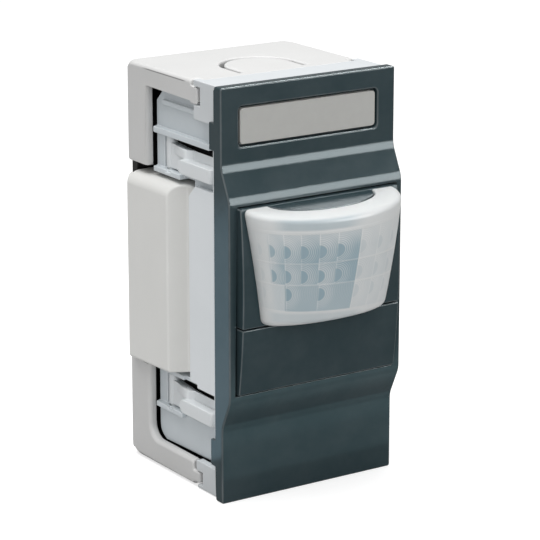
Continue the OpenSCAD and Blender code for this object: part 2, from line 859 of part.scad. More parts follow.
module controller_chip() {
    half = 2.6;
    chip_h = 6;
    chip_t = 1.6;
    chip_drop = 4;
    high = mid_half - chip_drop;
    color("#25282b") box(-half, half, board_rear, board_rear + chip_t, high - chip_h, high);
}

module board_header() {
    half = pin_count * pin_step / 2 + 0.4;
    color("#1f2224") difference() {
        box(-half, half, board_rear, power_front, pin_z - 1.1, pin_z + 1.1);
        pin_holes();
    }
}

module header_pins() {
    color("#c9a24e") for (x = pin_spots) {
        rod_y(pin_r, x, pin_z, board_front + fit, power_rear + 0.8);
    }
}

module power_board() {
    end_gap = wing_wall + 0.3;
    color("#2f6b45") difference() {
        union() {
            box(-power_half_w, power_half_w, power_front, power_rear,
                case_bottom + end_gap, case_top - end_gap);
            box(-board_half_w, board_half_w, power_front, power_rear, -mid_half + 0.4, mid_half - 0.4);
        }
        pin_holes();
        for (x = [-column_x, column_x]) {
            rod_y(screw_r + 0.15, x, column_top_z, power_front - past, power_rear + past);
            rod_y(screw_r + 0.15, x, column_low_z, power_front - past, power_rear + past);
        }
    }
}

module board_screws() {
    head_r = 1.3;
    head_h = 1;
    drive = 0.25;
    drive_rear = power_front - head_h / 2;
    drive_front = drive_rear - head_h;
    color("#b4b6b5") for (x = [-column_x, column_x]) {
        for (z = [column_top_z, column_low_z]) {
            difference() {
                union() {
                    rod_y(head_r, x, z, power_front - head_h, power_front);
                    rod_y(screw_r, x, z, power_front - sliver, power_rear + screw_len);
                }
                box(x - head_r, x + head_r, drive_front, drive_rear, z - drive, z + drive);
                box(x - drive, x + drive, drive_front, drive_rear, z - head_r, z + head_r);
            }
        }
    }
}

module relay() {
    side_gap = 0.9;
    rear_gap = 1.7;
    low_gap = 3.6;
    top_gap = 0.3;
    half = box_front_half - box_wall - side_gap;
    rear = box_rear - box_wall - rear_gap;
    low = block_top + low_gap;
    color("#2b3c63") box(-half, half, power_rear, rear, low, box_half_h - box_wall - top_gap);
}

module film_capacitor() {
    film_h = 5;
    side_gap = 0.6;
    rear_gap = 0.5;
    low_gap = 1;
    low = wing_edge + wing_wall + low_gap;
    half = column_x - column_r - side_gap;
    rear = case_depth - case_wall - rear_gap;
    color("#c9a93a") box(-half, half, power_rear, rear, low, low + film_h);
}

module electrolytic_capacitor() {
    r = bay_in / 2 - 1;
    x = -r - 0.3;
    z = lower_bay_floor + 0.3;
    end = case_depth - case_wall - 0.5;
    color("#2c3138") difference() {
        rod_y(r, x, z, power_rear, end);
        rod_y(r - 0.9, x, z, end - 0.2, end + past);
    }
}

module choke() {
    flange_r = bay_in / 2 - 1.5;
    coil_r = flange_r - 0.6;
    flange_t = 1;
    x = flange_r + 0.6;
    z = lower_bay_floor + 0.3;
    end = case_depth - case_wall - 1.5;
    color("#8a5a34") {
        rod_y(flange_r, x, z, power_rear, power_rear + flange_t);
        rod_y(coil_r, x, z, power_rear + sliver, end - sliver);
        rod_y(flange_r, x, z, end - flange_t, end);
    }
}

module rectifier_bridge() {
    half = 2.4;
    low = mid_half + 1.4;
    color("#25282b") box(-half, half, power_front - 2.2, power_front, low, low + 4.6);
}

module contact_bars() {
    bar_t = 0.6;
    bar_half = 1.4;
    low = wire_z + wire_r;
    color("#c07a45") for (x = entries) {
        box(x - bar_half, x + bar_half, power_rear, block_front - fit, low, low + bar_t);
        box(x - bar_half, x + bar_half, power_rear, power_rear + bar_t, low - 1.6, low + sliver);
    }
}

module clamp_springs() {
    half = 1.1;
    leaf = [[block_front, leaf_low - leaf_t], [leaf_bend, leaf_low - leaf_t], [leaf_bend - leaf_t, leaf_low],
        [leaf_bend, leaf_low + leaf_t], leaf_end + [-leaf_t, leaf_t], leaf_end, leaf_foot,
        [leaf_foot[0] - 0.2, leaf_low], [block_front, leaf_low]];
    color("#a9adaf") for (x = entries) {
        side_section(leaf, x - half, x + half);
    }
}

// Push rod that opens the clamp of one wire entry
module release_button(x) {
    color("#d98a2b") box(x - release_half_w, x + release_half_w, release_tip, block_rear + release_proud,
        release_low, release_high);
}

module release_button_1() {
    release_button(entries[0]);
}

module release_button_2() {
    release_button(entries[1]);
}

module release_button_3() {
    release_button(entries[2]);
}

module release_button_4() {
    release_button(entries[3]);
}

front_plate();
label_card();
label_window();
sensor_bezel();
fresnel_lens();
override_key();
front_carrier();
inner_case();
rear_housing();
terminal_box();
latch_upper_left();
latch_upper_right();
latch_lower_left();
latch_lower_right();
sensor_board();
pir_can();
pir_filter();
light_sensor();
status_led();
tact_switch();
tact_button();
trimmer_bodies();
time_dial();
lux_dial();
controller_chip();
board_header();
header_pins();
power_board();
board_screws();
relay();
film_capacitor();
electrolytic_capacitor();
choke();
rectifier_bridge();
contact_bars();
clamp_springs();
release_button_1();
release_button_2();
release_button_3();
release_button_4();
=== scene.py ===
"""Motion sensor light switch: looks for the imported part, laid out as an add-on and run as a script."""

import json
import math
from collections import namedtuple

import bmesh
import bpy
from bpy.props import FloatProperty, FloatVectorProperty, IntProperty, PointerProperty
from mathutils import Matrix, Vector


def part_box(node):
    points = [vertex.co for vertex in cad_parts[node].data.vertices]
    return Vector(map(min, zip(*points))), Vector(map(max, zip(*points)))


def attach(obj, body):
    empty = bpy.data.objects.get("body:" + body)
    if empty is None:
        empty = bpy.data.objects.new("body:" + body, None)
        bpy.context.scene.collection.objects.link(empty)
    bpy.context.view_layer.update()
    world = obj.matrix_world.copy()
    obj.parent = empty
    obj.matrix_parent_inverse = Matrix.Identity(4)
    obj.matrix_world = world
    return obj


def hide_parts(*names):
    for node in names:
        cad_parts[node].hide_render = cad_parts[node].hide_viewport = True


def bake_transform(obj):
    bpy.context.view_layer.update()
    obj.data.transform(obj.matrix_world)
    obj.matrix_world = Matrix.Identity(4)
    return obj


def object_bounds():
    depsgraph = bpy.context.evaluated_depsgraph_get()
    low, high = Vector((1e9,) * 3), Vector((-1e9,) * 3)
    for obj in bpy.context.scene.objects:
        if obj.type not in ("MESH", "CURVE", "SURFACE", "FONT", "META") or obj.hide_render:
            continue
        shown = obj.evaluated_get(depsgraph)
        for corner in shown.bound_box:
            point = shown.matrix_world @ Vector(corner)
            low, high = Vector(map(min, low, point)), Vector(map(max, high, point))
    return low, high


bl_info = {
    "name": "Motion sensor light switch",
    "version": (1, 0, 0),
    "blender": (4, 5, 0),
    "location": "View3D > Sidebar > Sensor switch",
    "description": "Dresses a clip-in motion sensor switch with a segmented lens and a push key",
    "category": "Object",
}

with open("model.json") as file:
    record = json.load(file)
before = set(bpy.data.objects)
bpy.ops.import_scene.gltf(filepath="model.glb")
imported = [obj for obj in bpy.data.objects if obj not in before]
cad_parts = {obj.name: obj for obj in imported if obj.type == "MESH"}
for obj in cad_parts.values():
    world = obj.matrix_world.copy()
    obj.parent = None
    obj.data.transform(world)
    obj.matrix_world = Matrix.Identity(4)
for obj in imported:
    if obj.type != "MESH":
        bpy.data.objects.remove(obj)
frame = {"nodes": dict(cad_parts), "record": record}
cad_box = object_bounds()
BEHAVIOUR = frame["record"]["behaviour"]
NODE_BODY = {node: body for body, nodes in BEHAVIOUR["bodies"].items() for node in nodes}

MM = 0.001
Y_AXIS, Z_AXIS = 1, 2
# Cosine from which a direction counts as lying along an axis
ALIGNED = 0.99
# Angles over which an edge is rounded and under which two faces count as one flat
SHARP_ANGLE, FLAT_ANGLE = math.radians(40), math.radians(0.4)
# Share of the room beside an edge that its rounding may take
ROOM_SHARE = 0.96
# Edge wear and painted highlight of the middle of a rounding and of its borders
FULL_WEAR_AND_SHEEN, BORDER_WEAR_AND_SHEEN = 1.0, 0.25
# Width of the camera's sensor in millimetres, and how near and far it sees in metres
SENSOR_WIDTH, CLIP_RANGE = 36.0, (0.01, 10.0)
DARK_PLASTIC = "Anthracite plastic"
DARK_PIECES = ("front_plate_moulding", "sensor_panel_moulding", "push_key_moulding")
PALE_FRONT_PIECES = ("label_window_pane", "lens_shell")

# Rows of lens cells, in shares of the lens's height and of the way round it, with the last cell's number
LensRow = namedtuple("LensRow", "top low middle first step last")
LENS_ROWS = (
    LensRow(0.135, 0.41, 0.305, 0.1425, 0.0757, 4.0),
    LensRow(0.41, 0.606, 0.53, 0.1425, 0.0757, 4.0),
    LensRow(0.606, 0.85, 0.695, 0.2205, 0.157, 1.0),
)
# Where the cells on the right begin, their step and the last one's number
LENS_SPLIT, SPLIT_STEP, SPLIT_LAST = 0.546, 0.095, 3.0
# Level and half height of the light lines between the rows
LENS_LINES = ((0.135, 0.013), (0.41, 0.006), (0.606, 0.006), (0.85, 0.005))
# Way round the lens and its height in millimetres, and radians of a ring's wave in each millimetre
LENS_ROUND, LENS_TALL, RING_RATE = 27.4, 14.4, 28.0
# Mark of the lens's hidden inside, and the level that its finish takes instead
HIDDEN, OFF_PATTERN = 2.0, -0.5


def length(description, default):
    """Length property in metres, given in millimetres."""
    return FloatProperty(description=description, default=default * MM, min=0, unit="LENGTH", precision=6)


def colour(description, default):
    """Colour property."""
    return FloatVectorProperty(description=description, default=default, subtype="COLOR", min=0, max=1)


def place(description, default):
    """Point property in metres."""
    return FloatVectorProperty(description=description, default=default, unit="LENGTH", precision=6)


def power(description, default):
    """Power or brightness property."""
    return FloatProperty(description=description, default=default, min=0)


class SwitchSizes(bpy.types.PropertyGroup):
    """Sizes that finish the mouldings."""

    plate_edge: length("Rounding of the front plate's edges", 0.2)
    panel_edge: length("Rounding of the sensor panel's and the key's edges", 0.16)
    carrier_edge: length("Rounding of the front carrier's edges", 0.12)
    case_edge: length("Rounding of the inner case's edges", 0.12)
    housing_edge: length("Rounding of the rear housing's edges", 0.25)
    box_edge: length("Rounding of the terminal box's edges", 0.25)
    latch_edge: length("Rounding of the latch levers' edges", 0.14)
    finger_end: length("Rounding of the upright edges of the latch fingers", 0.45)
    button_edge: length("Rounding of the release buttons' edges", 0.15)
    label_edge: length("Rounding of the label window's edges", 0.06)
    label_corner: length("Rounding of the label's four corners", 0.42)
    case_foot: length("Rounding along the bottom of the inner case", 0.5)
    lever_slope: length("Drop of the latch levers' tops towards the inside", 0.9)
    box_draft: length("Rise of the terminal box's underside towards the front", 0.45)
    foot_rise: length("Gap that shows under the inner case", 0.45)
    housing_corner: length("Rounding of the housing's two upper rear corners", 1.05)
    face_out: length("How far the panel's face stands out of the plate's rear face", 4.5)
    face_radius: length("Radius of the panel's rounded face", 79.88)
    face_rise: length("Height of the furthest line of the rounded face", 1.4)
    lens_top_half: length("Half the width of the lens at the top", 10.65)
    lens_top_out: length("How far the lens stands out at the top", 6.6)
    lens_low_out: length("How far the lens stands out at the bottom", 3.3)
    cap_half: length("Half the width of the gap round the dark cap", 7.32)
    cap_out: length("How far the gap round the dark cap stands out", 3.52)
    lens_low_half: length("Half the width of the lens at the bottom", 8.6)
    lens_wall: length("Wall thickness of the lens", 0.8)
    lens_top_round: length("Rounding of the lens's top edge", 0.7)
    lens_low_round: length("Rounding of the lens's bottom edge", 0.9)
    lens_tilt: FloatProperty(description="Forward droop of the lens top", default=math.radians(6),
                             subtype="ANGLE")
    lens_steps: IntProperty(description="Steps round the lens", default=72, min=24)


class SwitchColours(bpy.types.PropertyGroup):
    """Colours of the finishes."""

    plate: colour("Dark plastic of the plate, the panel and the key", (0.008, 0.025, 0.031))
    card: colour("Card behind the label window", (0.45, 0.45, 0.432))
    lens: colour("Milky plastic of the lens", (0.56, 0.575, 0.575))
    lens_field: colour("Segmented middle of the lens, over the dark inside", (0.24, 0.33, 0.375))
    carrier: colour("Front carrier and its strips", (0.63, 0.66, 0.68))
    case: colour("Inner case", (0.55, 0.60, 0.63))
    housing: colour("Rear housing", (0.57, 0.57, 0.565))
    # Painted shade: near black put on the faces inside the housing and the latch bays, where shade falls
    inside: colour("Unlit inside of the housing and of the latch bays", (0.012, 0.012, 0.012))
    box: colour("Terminal box", (0.70, 0.70, 0.68))
    latch: colour("Latch levers", (0.68, 0.71, 0.725))
    release: colour("Release buttons", (0.66, 0.26, 0.03))


class SwitchStage(bpy.types.PropertyGroup):
    """Camera and light."""

    camera_place: place("Where the camera stands", (-0.164470, -0.241015, 0.083056))
    camera_aim: place("Point in the middle of the view", (-0.005427, -0.001433, 0.002703))
    focal: FloatProperty(description="Focal length in millimetres", default=170.79)
    sky: power("Strength of the even light from all round", 0.4)
    top: power("Power of the soft light above", 3.5)
    strip: power("Power of the light at the front right that the front mirrors", 5.8)
    fill: power("Power of the soft light at the front", 0.95)
    left: power("Power of the soft light at the left", 0.74)
    sheen: power("Power of the light that the dark edges mirror", 6.0)
    side_card: power("Brightness of the card that the dark left faces mirror", 1.58)
    front_card: power("Brightness of the two cards that the foot mirrors", 0.75)


def rgba(value):
    """Colour with full alpha."""
    return (*value, 1.0)


def feed(value, socket):
    """Links a wire to a socket, or sets a plain value."""
    if isinstance(value, Wire):
        value.tree.links.new(value.socket, socket)
    else:
        socket.default_value = value


def feed_all(made, inputs):
    """Feeds the named or numbered inputs of a node."""
    for label, value in inputs.items():
        feed(value, made.inputs[label])


def add_node(tree, kind, inputs=None, **values):
    """New node with the given properties set and its inputs fed."""
    made = tree.nodes.new(kind)
    for key, value in values.items():
        setattr(made, key, value)
    feed_all(made, inputs or {})
    return made


def calc(tree, operation, *values):
    """Math node over wires or numbers."""
    return Wire(add_node(tree, "ShaderNodeMath", dict(enumerate(values)), operation=operation).outputs[0])


class Wire:
    """Output of a shader node. Plain arithmetic on it makes math nodes."""

    def __init__(self, socket):
        self.socket = socket
        self.tree = socket.id_data

    def calc(self, operation, *values):
        """Math node over this wire and other wires or numbers."""
        return calc(self.tree, operation, self, *values)

    def __add__(self, other):
        return self.calc("ADD", other)

    def __sub__(self, other):
        return self.calc("SUBTRACT", other)

    def __mul__(self, other):
        return self.calc("MULTIPLY", other)

    def __truediv__(self, other):
        return self.calc("DIVIDE", other)

    def __abs__(self):
        return self.calc("ABSOLUTE")

    def through(self, kind, inputs, output=0, **values):
        """Output of a new node in the same tree."""
        return Wire(add_node(self.tree, kind, inputs, **values).outputs[output])

    def wave(self):
        """Sine wave between zero and one."""
        return self.calc("SINE") * 0.5 + 0.5

    def ramp(self, low, high, start=0.0, end=1.0):
        """Smooth change from start to end while the value goes from low to high."""
        inputs = {"Value": self, "From Min": low, "From Max": high, "To Min": start, "To Max": end}
        return self.through("ShaderNodeMapRange", inputs, "Result", interpolation_type="SMOOTHSTEP")

    def between(self, low, high, soft):
        """One while the value lies between low and high, and zero beyond, with soft borders."""
        return self.ramp(low - soft, low + soft) * self.ramp(high - soft, high + soft, 1.0, 0.0)

    def pick(self, first, second):
        """Mix of two numbers by this share."""
        return self.through("ShaderNodeMix", {0: self, 2: first, 3: second}, 0, data_type="FLOAT")

    def mix(self, first, second):
        """Mix of two colours by this share."""
        return self.through("ShaderNodeMix", {0: self, 6: first, 7: second}, 2, data_type="RGBA")

    def shade(self, tint):
        """Colour made lighter or darker by this level."""
        return self.through("ShaderNodeVectorMath", {0: tint, "Scale": self}, operation="SCALE")

    def chance(self):
        """Random number that stays the same for the same value."""
        return self.through("ShaderNodeTexWhiteNoise", {"W": self}, "Value", noise_dimensions="1D")

    def noise(self, scale, detail, rough):
        """Noise over these coordinates."""
        inputs = {"Vector": self, "Scale": scale, "Detail": detail, "Roughness": rough}
        return self.through("ShaderNodeTexNoise", inputs, "Fac")

    def stretched(self, scale):
        """These coordinates, scaled by another amount along each axis."""
        return self.through("ShaderNodeMapping", {"Vector": self, "Scale": scale})

    def axes(self):
        """The three coordinates of a point."""
        return [Wire(out) for out in add_node(self.tree, "ShaderNodeSeparateXYZ", {0: self}).outputs]

    def bump(self, strength, depth):
        """Bumped normal from this height."""
        return self.through("ShaderNodeBump", {"Strength": strength, "Distance": depth, "Height": self})


def wires(made):
    """Outputs of a node by their names."""
    return {out.name: Wire(out) for out in made.outputs}


def object_place(tree):
    """Coordinates on the object, in metres."""
    return wires(add_node(tree, "ShaderNodeTexCoord"))["Object"]


def choose(factor, first, second, kind):
    """First shader where the factor is zero and second where it is one, into an output of this kind."""
    shaders = {0: factor, 1: Wire(first.outputs[0]), 2: Wire(second.outputs[0])}
    add_node(factor.tree, kind, {"Surface": factor.through("ShaderNodeMixShader", shaders)})


def new_group(name, inputs):
    """Shader node group with the given inputs, which puts out a colour, a roughness and a height."""
    tree = bpy.data.node_groups.new(name, "ShaderNodeTree")
    outputs = {"Colour": rgba((0, 0, 0)), "Roughness": 0.0, "Height": 0.0}
    for side, sockets in (("INPUT", inputs), ("OUTPUT", outputs)):
        for label, default in sockets.items():
            kind = "NodeSocketFloat" if isinstance(default, float) else "NodeSocketColor"
            socket = tree.interface.new_socket(name=label, in_out=side, socket_type=kind)
            socket.default_value = default
    return tree, wires(add_node(tree, "NodeGroupInput")), add_node(tree, "NodeGroupOutput")


def mould_finish():
    """Group for moulded plastic: fine grain, faint mottle, and lighter edges that are partly wear and partly
    a painted highlight.
    """
    found = bpy.data.node_groups.get("Mould finish")
    if found:
        return found
    tree, given, out = new_group("Mould finish", {
        "Colour": rgba((0.5, 0.5, 0.5)), "Mottle": 0.06, "Edge light": 0.2, "Roughness": 0.4, "Spread": 0.1,
        "Grain scale": 5200.0, "Wave": 0.0})
    spot = object_place(tree)
    edge = wires(add_node(tree, "ShaderNodeAttribute", attribute_name="edge"))["Fac"]
    grain = spot.noise(given["Grain scale"], 2.0, 0.55)
    flow = spot.noise(150.0, 4.0, 0.6)
    dust = spot.noise(900.0, 3.0, 0.6).ramp(0.56, 0.74)
    slow = spot.noise(850.0, 1.0, 0.5)
    level = ((flow - 0.5) + (grain - 0.5) * 0.6) * given["Mottle"] + 1.0
    # Edges are mixed towards white, partly as wear and partly as a painted highlight
    wear_and_sheen = edge * given["Edge light"] * flow.ramp(0.3, 0.7, 0.6, 1.0)
    rough = ((grain - 0.5) + dust * 0.6) * given["Spread"] + given["Roughness"] - edge * 0.04
    feed_all(out, {"Colour": wear_and_sheen.mix(level.shade(given["Colour"]), rgba((1, 1, 1))),
                   "Roughness": rough.calc("MAXIMUM", 0.05),
                   "Height": slow * given["Wave"] + grain})
    return tree


def metal_finish():
    """Group for drawn and stamped metal: streaks and smudges."""
    found = bpy.data.node_groups.get("Metal finish")
    if found:
        return found
    tree, given, out = new_group("Metal finish", {
        "Colour": rgba((0.6, 0.6, 0.6)), "Roughness": 0.3, "Smudge": 0.15})
    spot = object_place(tree)
    streak = spot.stretched((6000, 260, 6000)).noise(1.0, 3.0, 0.6)
    smudge = spot.noise(420.0, 4.0, 0.6) - 0.4
    rough = smudge * given["Smudge"] + given["Roughness"]
    feed_all(out, {"Colour": (streak * 0.28 + 0.86).shade(given["Colour"]),
                   "Roughness": rough.calc("MAXIMUM", 0.05),
                   "Height": streak})
    return tree


def empty_tree(owner):
    """Empty node tree of a material or a world."""
    owner.use_nodes = True
    owner.node_tree.nodes.clear()
    return owner.node_tree


def new_material(name):
    """Material with an empty tree, its shader and its output."""
    material = bpy.data.materials.new(name)
    tree = empty_tree(material)
    shader = add_node(tree, "ShaderNodeBsdfPrincipled")
    add_node(tree, "ShaderNodeOutputMaterial", {"Surface": Wire(shader.outputs[0])})
    return material, tree, shader


def opened(material):
    """Tree of a finished material, and its shader."""
    tree = material.node_tree
    return tree, next(n for n in tree.nodes if n.type == "BSDF_PRINCIPLED")


def plastic(name, tint, rough=0.42, spread=0.12, mottle=0.06, edge=0.2, grain=5200.0, relief=0.25,
            gloss=0.5, wave=0.0):
    """Moulded plastic."""
    material, tree, shader = new_material(name)
    inputs = {"Colour": rgba(tint), "Mottle": mottle, "Edge light": edge, "Roughness": rough,
              "Spread": spread, "Grain scale": grain, "Wave": wave}
    made = wires(add_node(tree, "ShaderNodeGroup", inputs, node_tree=mould_finish()))
    feed_all(shader, {"Base Color": made["Colour"], "Roughness": made["Roughness"],
                      "Normal": made["Height"].bump(relief, 0.03 * MM), "Specular IOR Level": gloss})
    material.diffuse_color = rgba(tint)
    return material


def metal(name, tint, rough):
    """Drawn or stamped metal."""
    material, tree, shader = new_material(name)
    inputs = {"Colour": rgba(tint), "Roughness": rough}
    made = wires(add_node(tree, "ShaderNodeGroup", inputs, node_tree=metal_finish()))
    feed_all(shader, {"Base Color": made["Colour"], "Roughness": made["Roughness"],
                      "Normal": made["Height"].bump(0.15, 0.02 * MM), "Metallic": 1.0})
    return material


def lens_cells(along, down):
    """Rings, half discs, light lines, fields and tones of the lens cells, over all the rows."""
    right_side = along.calc("GREATER_THAN", LENS_SPLIT)
    rings, discs, lines, fields, tones = 0.0, 0.0, 0.0, 0.0, 0.0
    for number, row in enumerate(LENS_ROWS, 1):
        inside = down.between(row.top, row.low, 0.003)
        counts, starts = [], []
        for first, step, last in ((row.first, row.step, row.last), (LENS_SPLIT, SPLIT_STEP, SPLIT_LAST)):
            count = ((along - first) / step).calc("FLOOR").calc("MAXIMUM", -2.0).calc("MINIMUM", last)
            counts.append(count)
            starts.append(count * step + first)
        across = (along - right_side.pick(*starts)) * LENS_ROUND
        drop = (down - row.middle) * LENS_TALL
        far = (across * across + drop * drop).calc("SQRT")
        ring = (far * RING_RATE).wave() * far.ramp(0.8, 0.92) * far.ramp(1.3, 2.4, 1.0, 0.3)
        rings = ring * inside + rings
        discs = far.ramp(0.74, 0.9, 1.0, 0.0) * inside + discs
        lines = across.ramp(0.04, 0.16, 1.0, 0.0) * inside + lines
        fields = along.ramp(row.first - 0.012, row.first + 0.004, 0.35, 1.0) * inside + fields
        seed = calc(along.tree, "MULTIPLY_ADD", float(number), 7.31, counts[0])
        tones = seed.chance() * inside + tones
    for level, half in LENS_LINES:
        lines = lines.calc("MAXIMUM", down.between(level - half, level + half, 0.004))
    return rings, discs, lines, fields, tones


def lens_material(tints):
    """Milky lens with rows of cells, each with its rings round a soft half disc."""
    material, tree, shader = new_material("Milky lens")
    along, level, _ = wires(add_node(tree, "ShaderNodeUVMap", uv_map="lens"))["UV"].axes()
    down = level - (along - 0.22) * (level * 0.2 - 0.04)
    spot = object_place(tree)
    cloud = spot.noise(260.0, 3.0, 0.6) - 0.5
    grain = spot.noise(4200.0, 2.0, 0.5)
    rings, discs, lines, fields, tones = lens_cells(along, down)
    before, after = LENS_SPLIT - 0.003, LENS_SPLIT + 0.003

    # The grey middle, which fades out at the left, at the top and beyond the split
    border = cloud * 0.1 + 0.135
    grey = (along - border).ramp(-0.04, 0.07, 0.25, 1.0) * along.ramp(before, after, 1.0, 0.22) * fields
    grey = grey * down.ramp(0.14, 0.33, 0.45, 1.0) * (tones * 0.4 + 0.74)

    # Grey bands above and below the cells, and fine streaks at the left
    band = down.between(0.02, 0.11, 0.012) * along.between(0.2, 0.52, 0.05)
    foot = down.between(0.87, 0.96, 0.015) * along.between(0.12, 0.6, 0.05)
    streak = (along * 900.0).wave() * down.between(0.14, 0.84, 0.02) * along.ramp(0.16, 0.24, 1.0, 0.0)
    grey = grey + band * 0.5 + foot * 0.3 + streak * 0.1

    # Darker half discs, lighter rings and lines, and clouds over all
    shown = along.ramp(0.08, 0.15, 0.2, 1.0) * along.ramp(before, after, 1.0, 0.35)
    grey = grey + (discs * 0.24 - rings * 0.55) * shown - lines * 0.3 + cloud * 0.25
    grey.socket.node.use_clamp = True

    feed_all(shader, {"Base Color": grey.mix(rgba(tints.lens), rgba(tints.lens_field)),
                      "Roughness": grain * 0.14 + 0.36,
                      "Normal": (rings * 0.6 + grain * 0.1 + lines).bump(0.3, 0.05 * MM),
                      "Subsurface Weight": 0.25, "Subsurface Scale": 1.0,
                      "Subsurface Radius": (1.2 * MM, 1.3 * MM, 1.4 * MM)})
    return material


def carrier_material(tint):
    """Pale plastic of the carrier, painted lighter on the side strips and darker on the top and bottom
    flanges, as painted light and shade.
    """
    material = plastic("Carrier plastic", tint, rough=0.38)
    tree, shader = opened(material)
    strip_end, flange = 12.8 * MM, 23.6 * MM
    up = object_place(tree).axes()[2]
    base = shader.inputs["Base Color"]
    # Painted light and shade: the side strips are made 12 percent lighter and the flanges 12 percent darker
    feed(abs(up).ramp(strip_end, flange, 1.12, 0.88).shade(Wire(base.links[0].from_socket)), base)
    return material


def housing_material(tint):
    """Pale plastic of the rear housing, with a thin dark line painted along its upper side edges as the
    shadow in the seam.
    """
    material = plastic("Housing plastic", tint, rough=0.45, edge=0.15)
    tree, shader = opened(material)
    seam_level = 24.38 * MM
    across, deep, up = object_place(tree).axes()
    side = abs(across).ramp(11.4 * MM, 11.5 * MM)
    line = abs(up - seam_level).ramp(0.03 * MM, 0.1 * MM, 1.0, 0.0)
    reach = deep.ramp(6.6 * MM, 7.6 * MM) * deep.ramp(15 * MM, 17.2 * MM, 1.0, 0.0)
    # Painted shadow: a thin near-black line where the top meets the side
    seam_shadow = side * line * reach * 0.75
    base = shader.inputs["Base Color"]
    feed(seam_shadow.mix(Wire(base.links[0].from_socket), rgba((0.10, 0.10, 0.10))), base)
    return material


def card_material(tint):
    """Matt label card with paper fibre."""
    material, tree, shader = new_material("Label card")
    spot = object_place(tree)
    fibre = spot.stretched((900, 900, 3600)).noise(1.0, 4.0, 0.65)
    cloud = spot.noise(240.0, 3.0, 0.5)
    level = fibre * 0.10 + cloud * 0.08 + 0.91
    feed_all(shader, {"Base Color": level.shade(tint), "Roughness": fibre * 0.2 + 0.55,
                      "Normal": fibre.bump(0.2, 0.02 * MM)})
    return material


def clear_material(tint):
    """Frosted clear plastic with faint rub marks, in the tint of the card behind it."""
    material, tree, shader = new_material("Clear window")
    rub = object_place(tree).noise(700.0, 5.0, 0.65)
    rubbed = [0.96 * x for x in tint]
    feed_all(shader, {"Base Color": rub.mix(rgba(rubbed), rgba(tint)), "Roughness": rub * 0.2 + 0.3,
                      "Alpha": rub * 0.06 + 0.82, "Specular IOR Level": 0.15,
                      "Normal": rub.bump(0.05, 0.02 * MM)})
    return material


def resin_material(name, tint):
    """Cast clear resin of a small sensor or lamp."""
    material, tree, shader = new_material(name)
    haze = object_place(tree).noise(800.0, 3.0, 0.6)
    hazy = [0.85 * x for x in tint]
    feed_all(shader, {"Base Color": haze.mix(rgba(tint), rgba(hazy)), "Roughness": haze * 0.12 + 0.06,
                      "Transmission Weight": 0.6})
    return material


def board_material():
    """Green laminate with tracks and pads under the mask."""
    material, tree, shader = new_material("Board laminate")
    spot = object_place(tree)
    cells = add_node(tree, "ShaderNodeTexVoronoi", {"Vector": spot, "Scale": 330.0}, feature="F1",
                     distance="MANHATTAN")
    far = wires(cells)["Distance"]
    track = (far * 26.0).calc("SINE").ramp(0.2, 0.35)
    pad = far.ramp(0.10, 0.13, 1.0, 0.0)
    weave = spot.noise(2600.0, 2.0, 0.5)
    green = track.mix(rgba((0.016, 0.115, 0.045)), rgba((0.028, 0.19, 0.075)))
    green = (weave * 0.2).mix(green, rgba((0.02, 0.07, 0.03)))
    feed_all(shader, {"Base Color": pad.mix(green, rgba((0.62, 0.60, 0.54))),
                      "Roughness": weave * 0.2 + 0.28, "Normal": (track + pad).bump(0.3, 0.04 * MM)})
    return material


def coil_material():
    """Enamelled wire wound round a core."""
    material, tree, shader = new_material("Wound wire")
    turn = (object_place(tree).axes()[1] * 18000.0).wave()
    feed_all(shader, {"Base Color": turn.mix(rgba((0.10, 0.035, 0.012)), rgba((0.42, 0.17, 0.06))),
                      "Roughness": turn * -0.15 + 0.4, "Metallic": 0.6,
                      "Normal": turn.bump(0.6, 0.1 * MM)})
    return material


def sharp_edges(bm):
    """Edges to be rounded, where two faces meet at a sharp angle."""
    return [e for e in bm.edges if len(e.link_faces) == 2 and e.calc_face_angle() > SHARP_ANGLE]


def lies_along(edge, axis):
    """Whether an edge runs along one of the three axes."""
    run = (edge.verts[1].co - edge.verts[0].co).normalized()
    return abs(run[axis]) > ALIGNED


def merged_copy(node, near=0.001 * MM):
    """Copy of a CAD node, merged and with its flat faces joined."""
    bm = bmesh.new()
    bm.from_mesh(frame["nodes"][node].data)
    bmesh.ops.remove_doubles(bm, verts=bm.verts, dist=near)
    bmesh.ops.dissolve_limit(bm, angle_limit=FLAT_ANGLE, verts=bm.verts, edges=bm.edges)
    return bm


def slice_through(bm, point, facing, clear=False):
    """Cuts a mesh along a plane, clears what lies beyond it if asked, and returns the edges of the cut."""
    cut = bmesh.ops.bisect_plane(bm, geom=[*bm.verts, *bm.edges, *bm.faces], dist=1e-7, plane_co=point,
                                 plane_no=facing, clear_outer=clear)["geom_cut"]
    return [e for e in cut if isinstance(e, bmesh.types.BMEdge)]


def room_at(edge):
    """Half the free width of the two faces along an edge."""
    first, last = edge.verts
    along = (last.co - first.co).normalized()
    room = 1.0
    for face in edge.link_faces:
        side = next(loop for loop in face.loops if loop.edge == edge)
        inward = face.normal.cross(side.link_loop_next.vert.co - side.vert.co).normalized()
        for other in face.edges:
            if other == edge:
                continue
            ends = [v.co for v in other.verts]
            if {first, last} & set(other.verts):
                if abs((ends[1] - ends[0]).normalized().dot(along)) < 0.7:
                    room = min(room, other.calc_length())
                continue
            for share in (0.1, 0.5, 0.9):
                start = first.co.lerp(last.co, share)
                sides = [(end - start).dot(along) for end in ends]
                if sides[0] * sides[1] < 0:
                    hit = ends[0].lerp(ends[1], sides[0] / (sides[0] - sides[1]))
                    far = (hit - start).dot(inward)
                    if far > 0:
                        room = min(room, far)
    return room / 2


